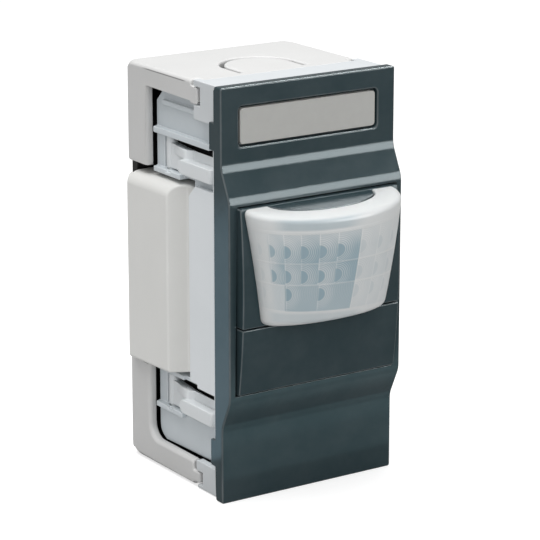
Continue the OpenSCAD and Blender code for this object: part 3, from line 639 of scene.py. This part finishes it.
def round_edges(bm, width, segments, chosen=None):
    """Rounds sharp edges as far as there is room, and marks the middle of each rounding for edge wear and a
    painted highlight.
    """
    mark = bm.verts.layers.float.get("edge") or bm.verts.layers.float.new("edge")
    grade = bm.edges.layers.int.get("grade") or bm.edges.layers.int.new("grade")
    widths = (width, 0.5 * width, 0.25 * width)
    for edge in sharp_edges(bm):
        if chosen is None or chosen(edge):
            room = ROOM_SHARE * room_at(edge)
            edge[grade] = next((i for i, w in enumerate(widths, 1) if w <= room), 0)
    for i, w in enumerate(widths, 1):
        picked = [e for e in bm.edges if e[grade] == i and len(e.link_faces) == 2]
        if not picked:
            continue
        for edge in picked:
            edge[grade] = 0
        made = bmesh.ops.bevel(bm, geom=picked, offset=w, offset_type="OFFSET", segments=segments,
                               profile=0.5, affect="EDGES", clamp_overlap=False, material=-1,
                               loop_slide=False)
        rounded = set(made["faces"])
        for vert in {v for f in rounded for v in f.verts}:
            vert[mark] = FULL_WEAR_AND_SHEEN if all(f in rounded for f in vert.link_faces) else BORDER_WEAR_AND_SHEEN


def add_object(name, data):
    """New object in the scene for a mesh, a light or a camera."""
    made = bpy.data.objects.new(name, data)
    bpy.context.scene.collection.objects.link(made)
    return made


def add_mesh(name, bm, *materials):
    """New object in the scene from a bmesh."""
    mesh = bpy.data.meshes.new(name)
    bm.to_mesh(mesh)
    bm.free()
    for material in materials:
        mesh.materials.append(material)
    return add_object(name, mesh)


def aim_at(made, point, aim):
    """Stands a light or a camera at one point and turns it to another."""
    made.location = point
    made.rotation_euler = (Vector(aim) - Vector(point)).to_track_quat("-Z", "Y").to_euler()


def make_piece(bm, name, nodes, *materials, smooth=35.0, bend=None):
    """Object from a bmesh that stands for the given CAD nodes. It rides on their body, or, given a bend,
    stays loose in place.
    """
    piece = add_mesh(name, bm, *materials)
    piece.data.shade_smooth()
    piece.data.set_sharp_from_angle(angle=math.radians(smooth))
    piece.modifiers.new("Weighted normals", "WEIGHTED_NORMAL").keep_sharp = True
    if bend:
        NODE_BODY[nodes[0]]
        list(bend)
        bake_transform(piece)
    else:
        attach(piece, NODE_BODY[nodes[0]])
    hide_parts(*nodes)


def softened(node, name, material, width, segments=2):
    """Piece in a CAD node's shape with its edges rounded."""
    bm = merged_copy(node)
    round_edges(bm, width, segments)
    make_piece(bm, name, [node], material)


def paint(node, material):
    """Gives a CAD node its finish."""
    slots = frame["nodes"][node].data.materials
    slots.clear()
    slots.append(material)


class Step:
    """What the operators share: each makes its pieces from the sizes and the colours."""

    def execute(self, context):
        self.make(context.scene.switch_sizes, context.scene.switch_colours)
        return {"FINISHED"}


class SWITCH_OT_front_plate(Step, bpy.types.Operator):
    """Make the dark front plate with its two slopes, the opening and the label recess"""

    bl_idname = "sensor_switch.front_plate"
    bl_label = "Front plate"

    def make(self, sizes, tints):
        dark = plastic(DARK_PLASTIC, tints.plate, rough=0.15, spread=0.05, mottle=0.1, edge=0.1, grain=5600.0,
                       relief=0.1, gloss=0.17, wave=3.5)
        feed(rgba((0.86, 0.97, 1.0)), opened(dark)[1].inputs["Specular Tint"])
        bm = merged_copy("front_plate")
        low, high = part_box("label_card")
        recess_corner = 1.3 * sizes.label_corner

        def round_the_label(edge):
            """Whether an edge is one of the recess's four corners."""
            return lies_along(edge, Y_AXIS) and all(
                low.z - MM < v.co.z < high.z + MM and abs(v.co.x) < high.x + MM for v in edge.verts)

        round_edges(bm, recess_corner, 5, round_the_label)
        round_edges(bm, sizes.plate_edge, 3)
        make_piece(bm, "front_plate_moulding", ["front_plate"], dark)


class SWITCH_OT_label(Step, bpy.types.Operator):
    """Make the label card and the clear window over it"""

    bl_idname = "sensor_switch.label"
    bl_label = "Label"

    def make(self, sizes, tints):
        card_edge = 0.05 * MM
        for node, name, material, width in (
                ("label_card", "label_card_sheet", card_material(tints.card), card_edge),
                ("label_window", "label_window_pane", clear_material(tints.card), sizes.label_edge)):
            bm = merged_copy(node)
            round_edges(bm, sizes.label_corner, 5, lambda e: lies_along(e, Y_AXIS))
            round_edges(bm, width, 3)
            make_piece(bm, name, [node], material)


class SWITCH_OT_sensor_bezel(Step, bpy.types.Operator):
    """Make the rounded sensor panel with the dark cap inside the lens"""

    bl_idname = "sensor_switch.sensor_bezel"
    bl_label = "Sensor panel"

    def make(self, sizes, tints):
        dark = bpy.data.materials[DARK_PLASTIC]
        softened("sensor_bezel", "sensor_panel_moulding", dark, sizes.panel_edge, 3)


class SWITCH_OT_fresnel_lens(Step, bpy.types.Operator):
    """Make the milky segmented lens"""

    bl_idname = "sensor_switch.fresnel_lens"
    bl_label = "Lens"

    def make(self, sizes, tints):
        bm = bmesh.new()
        mark_u = bm.verts.layers.float.new("along")
        mark_v = bm.verts.layers.float.new("down")
        made = bmesh.ops.create_circle(bm, cap_ends=False, radius=1.0, segments=2 * sizes.lens_steps)
        bmesh.ops.delete(bm, geom=[v for v in made["verts"] if v.co.y > 1e-5], context="VERTS")
        for vert in bm.verts:
            vert[mark_u] = 0.5 + math.atan2(vert.co.x, -vert.co.y) / math.pi

        verts, edges = list(bm.verts), list(bm.edges)
        first = list(edges)
        before = Matrix.Identity(4)
        for i, ((root, half, out, tilt), down) in enumerate(self.ovals(sizes)):
            if i:
                extruded = bmesh.ops.extrude_edge_only(bm, edges=edges)["geom"]
                verts = [g for g in extruded if isinstance(g, bmesh.types.BMVert)]
                ends = set(verts)
                edges = [e for e in extruded if isinstance(e, bmesh.types.BMEdge)
                         and ends.issuperset(e.verts)]
            after = (Matrix.Translation(root) @ Matrix.Rotation(tilt, 4, "X")
                     @ Matrix.Diagonal((half, out, 1.0, 1.0)))
            bmesh.ops.transform(bm, matrix=after @ before.inverted(), verts=verts)
            before = after
            for vert in verts:
                vert[mark_v] = down
        bmesh.ops.bridge_loops(bm, edges=first + edges)
        bmesh.ops.holes_fill(bm, edges=[e for e in bm.edges if e.is_boundary], sides=0)
        bmesh.ops.recalc_face_normals(bm, faces=bm.faces)

        layer = bm.loops.layers.uv.new("lens")
        for face in bm.faces:
            shown = max(v[mark_v] for v in face.verts) < HIDDEN
            for loop in face.loops:
                loop[layer].uv = (loop.vert[mark_u], loop.vert[mark_v] if shown else OFF_PATTERN)
        make_piece(bm, "lens_shell", ["fresnel_lens"], lens_material(tints), smooth=50)

    @staticmethod
    def ovals(sizes):
        """Half ovals from the hole's rim over the outside to the inside, with their levels for the finish."""
        low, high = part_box("fresnel_lens")
        tall = high.z - low.z
        wall, top_round, low_round = sizes.lens_wall, sizes.lens_top_round, sizes.lens_low_round
        rim_round, top_flat = 0.2 * MM, 0.6 * MM
        rim_level, flat_level = -0.3, -0.1
        steps = 14

        def oval(share, inset=0.0):
            """Root, half width, reach and tilt at a share of the way down, set in from the outer face."""
            root_z = high.z + (low.z - high.z) * share
            bow = math.sqrt(sizes.face_radius ** 2 - (root_z - sizes.face_rise) ** 2)
            root = Vector((0, sizes.face_radius - sizes.face_out - bow, root_z))
            half = sizes.lens_top_half + (sizes.lens_low_half - sizes.lens_top_half) * share
            out = sizes.lens_top_out + (sizes.lens_low_out - sizes.lens_top_out) * share
            return root, half - inset, out - inset, sizes.lens_tilt * (1 - share)

        def hole(more, drop):
            """The same for the hole round the dark cap, made larger and lowered."""
            root = oval(0)[0] + Matrix.Rotation(sizes.lens_tilt, 3, "X") @ Vector((0, 0, -drop))
            return root, sizes.cap_half + more, sizes.cap_out + more, sizes.lens_tilt

        def quarter(count):
            """Cosine and sine of the angles of a quarter turn."""
            angles = [math.radians(90 * i / count) for i in range(count + 1)]
            return [(math.cos(a), math.sin(a)) for a in angles]

        made = [(hole(rim_round * (1 - c), rim_round * (1 - s)), rim_level) for c, s in quarter(3)]
        made.append((oval(0, top_round + top_flat), flat_level))
        for c, s in quarter(6):
            share = top_round * (1 - c) / tall
            made.append((oval(share, top_round * (1 - s)), share))
        start, end = top_round / tall, 1 - low_round / tall
        for i in range(1, steps):
            share = start + (end - start) * i / steps
            made.append((oval(share), share))
        for c, s in quarter(6):
            share = 1 - low_round * (1 - s) / tall
            made.append((oval(share, low_round * (1 - c)), share))
        for share, inset in ((1, wall + 0.3 * MM), (1 - wall / tall, wall + 0.1 * MM), (0.5, wall),
                             (wall / tall, wall)):
            made.append((oval(share, inset), HIDDEN))
        made.append((hole(0, wall), HIDDEN))
        return made


class SWITCH_OT_override_key(Step, bpy.types.Operator):
    """Make the push key"""

    bl_idname = "sensor_switch.override_key"
    bl_label = "Push key"

    def make(self, sizes, tints):
        dark = bpy.data.materials[DARK_PLASTIC]
        softened("override_key", "push_key_moulding", dark, sizes.panel_edge, 3)


class SWITCH_OT_body(Step, bpy.types.Operator):
    """Make the carrier, the inner case, the rear housing and the terminal box"""

    bl_idname = "sensor_switch.body"
    bl_label = "Body mouldings"

    def make(self, sizes, tints):
        softened("front_carrier", "front_carrier_moulding", carrier_material(tints.carrier),
                 sizes.carrier_edge)
        # Near-black finish painted on the inner faces as shade
        painted_shade = plastic("Unlit inside", tints.inside, rough=0.6, edge=0.0)
        self.case(sizes, plastic("Inner body plastic", tints.case, edge=0.3), painted_shade)
        self.housing(sizes, housing_material(tints.housing), painted_shade)
        self.box(sizes, plastic("Box plastic", tints.box, rough=0.45, edge=0.15))

    @staticmethod
    def housing(sizes, pale, painted_shade):
        """Rear housing, with its inside and the faces of its side notches painted near black as shade."""
        width, ball = sizes.housing_edge, sizes.housing_corner
        wall, notch_least, notch_most = 1.05 * MM, 0.7 * MM, 0.9 * MM
        bm = merged_copy("rear_housing", 0.03 * MM)
        low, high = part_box("rear_housing")
        for face in bm.faces:
            middle = face.calc_center_median()
            from_side = high.x - abs(middle.x)
            notch = abs(face.normal.x) > 0.9 and notch_least < from_side < notch_most
            inside = abs(middle.x) < high.x - wall and middle.y < high.y - wall
            # Faces inside the housing and in its side notches take the near-black painted shade
            face.material_index = int(low.z + wall < middle.z < high.z - wall and (notch or inside))

        side, window_back = high.x - 0.1 * MM, high.y - 3 * MM
        window_low, window_high = low.z + 2 * MM, high.z - 1.5 * MM
        round_edges(bm, 2 * width, 4, lambda e: all(
            abs(v.co.x) > side and v.co.y < window_back and window_low < v.co.z < window_high
            for v in e.verts))
        round_edges(bm, width, 3, lambda e: not all(
            abs(v.co.x) > high.x - ball and v.co.y > high.y - ball and abs(v.co.z) > high.z - ball
            for v in e.verts))
        lifts = [math.radians(a) for a in (22, 35, 48, 62)]
        turns = [math.radians(a) for a in (20, 34, 48, 62, 74)]
        for hand in (-1, 1):
            middle = Vector((hand * (high.x - ball), high.y - ball, high.z - ball))
            for lift in lifts:
                for turn in turns:
                    facing = Vector((hand * math.cos(lift) * math.cos(turn),
                                     math.cos(lift) * math.sin(turn), math.sin(lift)))
                    rim = slice_through(bm, middle + facing * ball, facing, clear=True)
                    bmesh.ops.edgeloop_fill(bm, edges=rim)
        make_piece(bm, "rear_housing_moulding", ["rear_housing"], pale, painted_shade)

    @staticmethod
    def case(sizes, pale, painted_shade):
        """Inner case, with a rounded foot, and the back walls of its latch bays painted near black as shade.
        """
        bm = merged_copy("inner_case")
        low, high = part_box("inner_case")
        bays = [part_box("latch_upper_right"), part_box("latch_lower_right")]
        for face in bm.faces:
            middle = face.calc_center_median()
            outward = abs(face.normal.x) > ALIGNED and face.normal.x * middle.x > 0
            behind = abs(middle.x) < bays[0][0].x
            level = any(bay[0].z - MM < middle.z < bay[1].z + MM for bay in bays)
            # Back walls of the latch bays take the near-black painted shade
            face.material_index = int(outward and behind and level)
        foot_tall = 2 * MM
        for vert in bm.verts:
            vert.co.z += sizes.foot_rise * max(0.0, 1 - (vert.co.z - low.z) / foot_tall)
        foot = low.z + sizes.foot_rise + 0.05 * MM
        round_edges(bm, sizes.case_foot, 4, lambda e: all(v.co.z < foot for v in e.verts)
                    and lies_along(e, Y_AXIS) and abs(e.verts[0].co.x) > high.x - MM)
        round_edges(bm, sizes.case_edge, 2)
        make_piece(bm, "inner_case_moulding", ["inner_case"], pale, painted_shade)

    @staticmethod
    def box(sizes, pale):
        """Terminal box, with a slight draft on its underside."""
        bm = merged_copy("terminal_box")
        low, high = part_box("terminal_box")
        for vert in bm.verts:
            if vert.co.z < low.z + MM:
                vert.co.z += sizes.box_draft * (high.y - vert.co.y) / (high.y - low.y)
        round_edges(bm, sizes.box_edge, 3)
        make_piece(bm, "terminal_box_moulding", ["terminal_box"], pale)


class SWITCH_OT_latches(Step, bpy.types.Operator):
    """Make the four latch levers"""

    bl_idname = "sensor_switch.latches"
    bl_label = "Latch levers"

    def make(self, sizes, tints):
        white = plastic("Latch plastic", tints.latch, rough=0.36)
        for corner in ("upper_left", "upper_right", "lower_left", "lower_right"):
            self.lever(sizes, "latch_" + corner, "latch_lever_" + corner, white)

    @staticmethod
    def lever(sizes, node, name, white):
        """Latch lever, with a sloping top and a finger with rounded ends."""
        bm = merged_copy(node)
        pivot = Vector(next(j["pos_m"] for j in BEHAVIOUR["joints"] if j["child"] == node))
        lever_reach = 4 * MM
        top = max(v.co.z for v in bm.verts if v.co.y < pivot.y - lever_reach)
        slice_through(bm, (pivot.x * 1.05, 0, 0), (1, 0, 0))
        inner = [v for v in bm.verts if v.co.z > top - 0.01 * MM and v.co.y < pivot.y - MM
                 and abs(v.co.x) < abs(pivot.x)]
        bmesh.ops.translate(bm, verts=inner, vec=(0, 0, -sizes.lever_slope))
        out = max(abs(v.co.x) for v in bm.verts) - 0.05 * MM
        round_edges(bm, sizes.finger_end, 4, lambda e: lies_along(e, Z_AXIS)
                    and all(abs(v.co.x) > out for v in e.verts))
        round_edges(bm, sizes.latch_edge, 2)
        make_piece(bm, name, [node], white)


class SWITCH_OT_terminals(Step, bpy.types.Operator):
    """Make the release buttons and the clamp springs, and finish the contacts"""

    bl_idname = "sensor_switch.terminals"
    bl_label = "Terminals"

    def make(self, sizes, tints):
        orange = plastic("Release plastic", tints.release, rough=0.4, mottle=0.08, edge=0.12)
        steel = metal("Spring steel", (0.56, 0.57, 0.58), 0.24)
        for number in (1, 2, 3, 4):
            node = f"release_button_{number}"
            softened(node, f"release_pusher_{number}", orange, sizes.button_edge, 3)
            self.spring(f"clamp_spring_{number}", node, steel)
        paint("contact_bars", metal("Contact copper", (0.78, 0.40, 0.24), 0.28))

    @staticmethod
    def spring(name, button, steel):
        """Clamp spring of one wire entry, sliced across where its leaf would bend as the button goes in; the
        piece itself stays rigid.
        """
        bm = merged_copy("clamp_springs")
        low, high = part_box(button)
        bmesh.ops.delete(bm, geom=[v for v in bm.verts if not low.x < v.co.x < high.x], context="VERTS")
        clearance, cuts = 0.3 * MM, 8
        still, pushed = Vector((0, 0, low.z - clearance)), Vector((0, 0, high.z))
        for step in range(cuts + 1):
            slice_through(bm, still.lerp(pushed, step / cuts), (0, 0, 1))
        make_piece(bm, name, ["clamp_springs"], steel, bend=(NODE_BODY[button], still, pushed))


class SWITCH_OT_electronics(Step, bpy.types.Operator):
    """Finish the boards and the parts on them"""

    bl_idname = "sensor_switch.electronics"
    bl_label = "Boards and parts"

    def make(self, sizes, tints):
        black = plastic("Black epoxy", (0.018, 0.019, 0.021), rough=0.5, mottle=0.2, edge=0.03)
        cream = plastic("Cream plastic", (0.66, 0.63, 0.54), rough=0.4)
        window = plastic("Filter", (0.012, 0.014, 0.020), rough=0.12, spread=0.05, mottle=0.3)
        for material, *nodes in (
                (board_material(), "sensor_board", "power_board"),
                (black, "tact_switch", "controller_chip", "board_header", "rectifier_bridge"),
                (cream, "tact_button", "time_dial", "lux_dial"),
                (window, "pir_filter"),
                (metal("Can steel", (0.62, 0.62, 0.60), 0.26), "pir_can"),
                (metal("Pin brass", (0.83, 0.62, 0.26), 0.25), "header_pins"),
                (metal("Screw steel", (0.58, 0.58, 0.57), 0.3), "board_screws"),
                (resin_material("Clear resin", (0.86, 0.88, 0.88)), "light_sensor"),
                (resin_material("Red resin", (0.62, 0.04, 0.03)), "status_led"),
                (plastic("Trimmer plastic", (0.03, 0.12, 0.36), rough=0.4), "trimmer_bodies"),
                (plastic("Relay plastic", (0.02, 0.04, 0.13), rough=0.35), "relay"),
                (plastic("Film shell", (0.56, 0.38, 0.05), rough=0.38), "film_capacitor"),
                (plastic("Sleeve", (0.02, 0.024, 0.03), rough=0.3), "electrolytic_capacitor"),
                (coil_material(), "choke")):
            for node in nodes:
                paint(node, material)


class SWITCH_OT_stage(Step, bpy.types.Operator):
    """Set up the floor, the light and the camera"""

    bl_idname = "sensor_switch.stage"
    bl_label = "Stage"

    def make(self, sizes, tints):
        scene = bpy.context.scene
        stage = scene.switch_stage
        scene.view_settings.view_transform = "Standard"
        base = cad_box[0].z
        self.floor(base)
        self.sky(scene, stage.sky)
        self.lights(stage, base)
        self.camera(scene, stage)

    @staticmethod
    def floor(base):
        """Floor under the part, which looks whiter to the camera than to the part."""
        bm = bmesh.new()
        half = 1.5
        bmesh.ops.create_grid(bm, x_segments=1, y_segments=1, size=half,
                              matrix=Matrix.Translation((0, 0, base)))
        material = bpy.data.materials.new("White floor")
        tree = empty_tree(material)
        matt = add_node(tree, "ShaderNodeBsdfDiffuse", {"Color": rgba((0.45, 0.45, 0.45))})
        glow = add_node(tree, "ShaderNodeEmission", {"Strength": 0.66})
        both = add_node(tree, "ShaderNodeAddShader", {0: Wire(matt.outputs[0]), 1: Wire(glow.outputs[0])})
        seen = wires(add_node(tree, "ShaderNodeLightPath"))["Is Camera Ray"]
        choose(seen, matt, both, "ShaderNodeOutputMaterial")
        floor = add_mesh("floor", bm, material)

    @staticmethod
    def sky(scene, strength):
        """Even light from all round, behind which the camera sees plain white."""
        world = bpy.data.worlds.new("Studio")
        scene.world = world
        tree = empty_tree(world)
        even = add_node(tree, "ShaderNodeBackground", {"Strength": strength})
        white = add_node(tree, "ShaderNodeBackground", {"Strength": 1.0})
        path = wires(add_node(tree, "ShaderNodeLightPath"))
        seen = path["Is Camera Ray"].calc("MAXIMUM", path["Is Transmission Ray"])
        choose(seen, even, white, "ShaderNodeOutputWorld")

    def lights(self, stage, base):
        """Soft lights that don't show in the shine, lights that show only there, and cards to mirror."""
        front = DARK_PIECES + PALE_FRONT_PIECES
        for name, energy, point, aim_z, wide, mirrors in (
                ("top_light", stage.top, (-0.05, 0.02, 0.5), 0, 0.45, None),
                ("strip_light", stage.strip, (0.33, -0.49, 0.12), 0.01, 0.3, front),
                ("edge_light", stage.sheen, (0.27, -0.02, 0.4), 0, 0.22, DARK_PIECES),
                ("fill_light", stage.fill, (0.12, -0.6, 0.22), 0, 0.4, None),
                ("left_light", stage.left, (-0.36, -0.36, 0.24), 0, 0.3, None)):
            made = self.lamp(name, energy, point, (0, 0, aim_z), wide, wide)
            if mirrors:
                self.mirror_only(made, mirrors)
            else:
                made.visible_glossy = False

        blue, plate = (0.6, 0.95, 1.0), DARK_PIECES[:1]
        for name, glow, tint, (x, y), wide, tall, mirrors in (
                ("side_card", stage.side_card, (0.5, 0.8, 1.0), (-0.06, 0.062), 0.12, 0.104, DARK_PIECES),
                ("front_card", stage.front_card, blue, (0.0135, -0.029), 0.054, 0.026, plate),
                ("foot_card", stage.front_card, blue, (0.0135, -0.0235), 0.054, 0.035, plate)):
            energy = glow * math.pi * wide * tall
            card = self.lamp(name, energy, (x, y, base + MM), (x, y, 0.1), wide, tall)
            card.data.color = tint
            self.mirror_only(card, mirrors)

    @staticmethod
    def lamp(name, energy, point, aim, wide, tall):
        """Soft rectangular light that looks at a point."""
        data = bpy.data.lights.new(name, "AREA")
        data.shape = "RECTANGLE"
        data.size = wide
        data.size_y = tall
        data.energy = energy
        made = add_object(name, data)
        aim_at(made, point, aim)
        return made

    @staticmethod
    def mirror_only(made, pieces):
        """Keeps a light to the shine of the given pieces."""
        made.visible_diffuse = False
        made.visible_camera = False
        lit = bpy.data.collections.new(made.name + "_pieces")
        for piece in pieces:
            lit.objects.link(bpy.data.objects[piece])
        made.light_linking.receiver_collection = lit

    @staticmethod
    def camera(scene, stage):
        """Camera that sees the part from the front left and a little above."""
        camera = add_object("camera", bpy.data.cameras.new("camera"))
        camera.data.lens = stage.focal
        camera.data.sensor_width = SENSOR_WIDTH
        camera.data.clip_start, camera.data.clip_end = CLIP_RANGE
        aim_at(camera, stage.camera_place, stage.camera_aim)
        scene.camera = camera


class SWITCH_PT_panel(bpy.types.Panel):
    """Lists the pieces of the switch"""

    bl_idname = "SWITCH_PT_panel"
    bl_label = "Sensor switch"
    bl_space_type = "VIEW_3D"
    bl_region_type = "UI"
    bl_category = "Sensor switch"

    def draw(self, context):
        for made in OPERATORS:
            self.layout.operator(made.bl_idname)
        for key, group in GROUPS.items():
            box = self.layout.box()
            for name in group.__annotations__:
                box.prop(getattr(context.scene, key), name, text=name.replace("_", " ").capitalize())


GROUPS = {"switch_sizes": SwitchSizes, "switch_colours": SwitchColours, "switch_stage": SwitchStage}
OPERATORS = (
    SWITCH_OT_front_plate,
    SWITCH_OT_label,
    SWITCH_OT_sensor_bezel,
    SWITCH_OT_fresnel_lens,
    SWITCH_OT_override_key,
    SWITCH_OT_body,
    SWITCH_OT_latches,
    SWITCH_OT_terminals,
    SWITCH_OT_electronics,
    SWITCH_OT_stage,
)
CLASSES = (*GROUPS.values(), *OPERATORS, SWITCH_PT_panel)


def register():
    """Adds the settings, the operators and the panel."""
    for made in CLASSES:
        bpy.utils.register_class(made)
    for key, group in GROUPS.items():
        setattr(bpy.types.Scene, key, PointerProperty(type=group))


def unregister():
    """Takes them away again."""
    for key in GROUPS:
        delattr(bpy.types.Scene, key)
    for made in reversed(CLASSES):
        bpy.utils.unregister_class(made)


def main():
    """Dresses the switch."""
    register()
    for made in OPERATORS:
        group, name = made.bl_idname.split(".")
        getattr(getattr(bpy.ops, group), name)()


if __name__ == "__main__":
    main()
